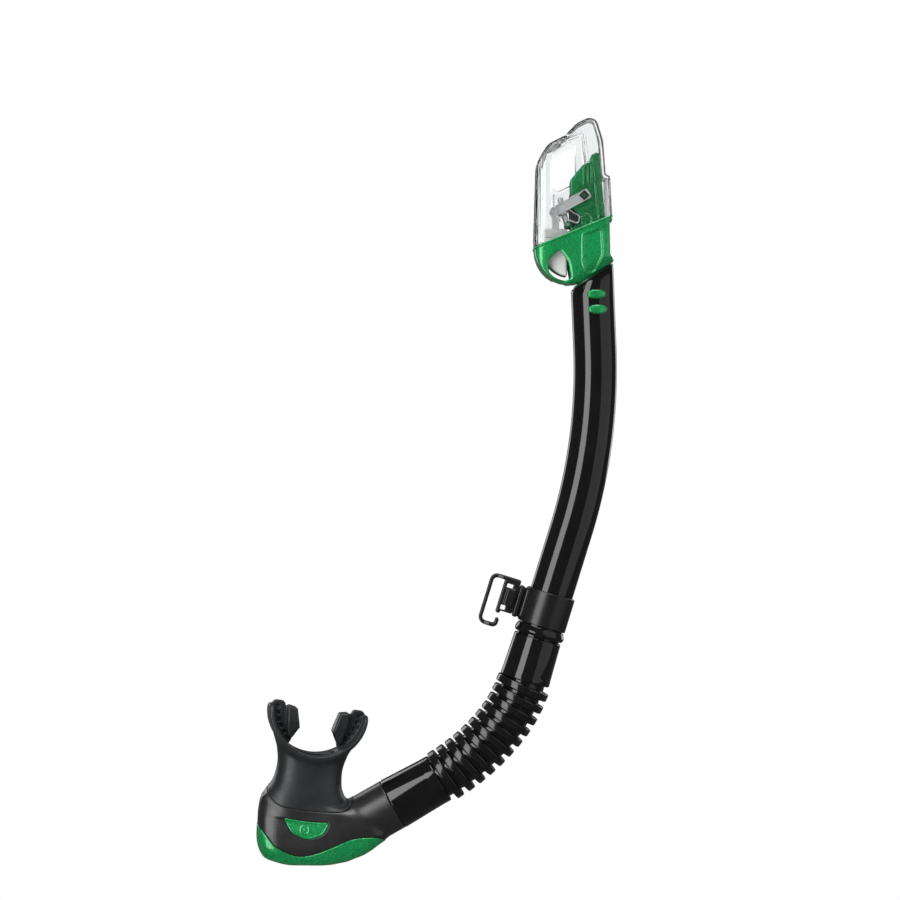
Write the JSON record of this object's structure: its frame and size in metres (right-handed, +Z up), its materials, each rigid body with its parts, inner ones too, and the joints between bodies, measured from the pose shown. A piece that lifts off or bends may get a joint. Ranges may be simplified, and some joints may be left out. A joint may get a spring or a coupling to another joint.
{
  "type": "dry-top snorkel",
  "caption": "Snorkel tube with a float-shut dry top, a corrugated hose, a swivelling chamber with a purge valve and mouthpiece, and a sliding strap clip.",
  "frame": {"origin": "centre of the strap slot in the keeper's clip", "axes": "+Z up along the worn snorkel towards the dry top, +X from the mouthpiece side towards the barrel, +Y towards the wearer's face side; the barrel, hose and chamber all lie in the plane y = 0"},
  "size_m": [0.2133, 0.0404, 0.4407],
  "materials": {
    "black_gloss": "polished moulded plastic",
    "black_satin": "satin moulded plastic",
    "hose_black": "glossy thermoplastic rubber",
    "chamber_grey": "satin, very finely grained plastic",
    "green_metallic": "plastic with metallic flake in the colour",
    "clear_plastic": "clear polished polycarbonate",
    "lever_grey": "pale grey moulded plastic",
    "float_white": "white moulded plastic",
    "seal_black": "matt rubber",
    "valve_silicone": "translucent silicone",
    "mouth_silicone": "matt dark silicone"
  },
  "bodies": {
    "tube": {"barrel": "black_gloss", "barrel_inlays": "green_metallic", "barrel_collar": "black_gloss", "upper_cuff": "black_gloss", "corrugated_hose": "hose_black", "top_base": "green_metallic", "top_cover": "clear_plastic", "top_gasket": "seal_black", "inlet_seal": "seal_black", "lever_pins": "lever_grey"},
    "keeper": {"keeper": "black_satin", "swivel_pin": "black_satin"},
    "clip": {"strap_clip": "black_satin"},
    "lower_hose": {"lower_cuff": "black_gloss"},
    "chamber": {"chamber": "chamber_grey", "swivel_o_ring": "seal_black", "chamber_badge": "green_metallic", "purge_cover": "green_metallic", "purge_seat": "chamber_grey", "mouthpiece": "mouth_silicone"},
    "purge_valve": {"purge_valve": "valve_silicone"},
    "lever": {"float_lever": "lever_grey", "float_cross_pin": "lever_grey"},
    "shutter": {"shutter": "lever_grey", "shutter_seal": "valve_silicone"},
    "float": {"float": "float_white"}
  },
  "joints": [
    {"name": "keeper_slide", "type": "slide", "parent": "tube", "child": "keeper", "axis": [0.2957, 0, 0.9553], "range_m": [0, 0.03]},
    {"name": "clip_swivel", "type": "hinge", "parent": "keeper", "child": "clip", "pos_m": [0.01364, 0, -0.00024], "axis": [0.9553, 0, -0.2957], "continuous": true},
    {"name": "hose_bend", "type": "hinge", "parent": "tube", "child": "lower_hose", "pos_m": [0.00758, 0, -0.08271], "axis": [0, 1, 0], "range_deg": [-35, 30], "stiffness_Nm_per_rad": 0.35, "springref_deg": 10.89, "deforming": ["corrugated_hose"]},
    {"name": "chamber_swivel", "type": "hinge", "parent": "lower_hose", "child": "chamber", "pos_m": [-0.05881, 0, -0.12027], "axis": [0.8704, 0, 0.4924], "continuous": true},
    {"name": "purge_lift", "type": "slide", "parent": "chamber", "child": "purge_valve", "axis": [0, 0, -1], "range_m": [0, 0.0016], "stiffness_N_per_m": 60, "springref_m": -0.0005},
    {"name": "float_lift", "type": "hinge", "parent": "tube", "child": "lever", "pos_m": [0.05292, 0, 0.23646], "axis": [0, 1, 0], "range_deg": [0, 40]},
    {"name": "shutter_swing", "type": "hinge", "parent": "tube", "child": "shutter", "pos_m": [0.04352, 0, 0.21976], "axis": [0, 1, 0], "range_deg": [0, 15]},
    {"name": "float_level", "type": "hinge", "parent": "lever", "child": "float", "pos_m": [0.03652, 0, 0.22736], "axis": [0, 1, 0], "range_deg": [-40, 0]}
  ],
  "couplings": [
    {"joint": "shutter_swing", "follows": "float_lift", "ratio": 0.375},
    {"joint": "float_level", "follows": "float_lift", "ratio": -1}
  ]
}
